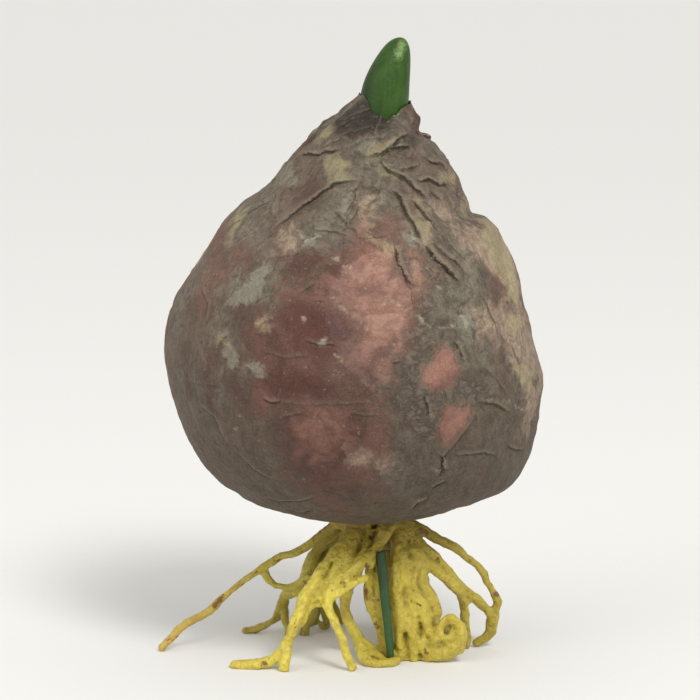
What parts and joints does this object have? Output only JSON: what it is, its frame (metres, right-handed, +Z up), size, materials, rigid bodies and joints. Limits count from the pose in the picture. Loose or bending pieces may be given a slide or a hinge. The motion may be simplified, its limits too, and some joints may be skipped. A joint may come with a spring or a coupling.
{
  "type": "hyacinth bulb with shoot",
  "caption": "Hyacinth bulb in a torn papery skin, with a short green shoot at its neck, standing upright on splayed fleshy roots.",
  "frame": {"origin": "on the surface that the root tips stand on, under the middle of the bulb", "axes": "+Z up through the bulb to the shoot; the front with the torn skin is towards -Y, and +X is to the right seen from the front"},
  "size_m": [0.0595, 0.056, 0.095],
  "materials": {
    "bulb_flesh": "satin",
    "papery_skin": "matte",
    "green_shoot": "gloss",
    "fleshy_root": "satin",
    "green_stick": "satin"
  },
  "bodies": {
    "root": {"bulb": "bulb_flesh", "tunic": "papery_skin", "shoot": "green_shoot", "roots": "fleshy_root", "stick": "green_stick"}
  },
  "joints": []
}
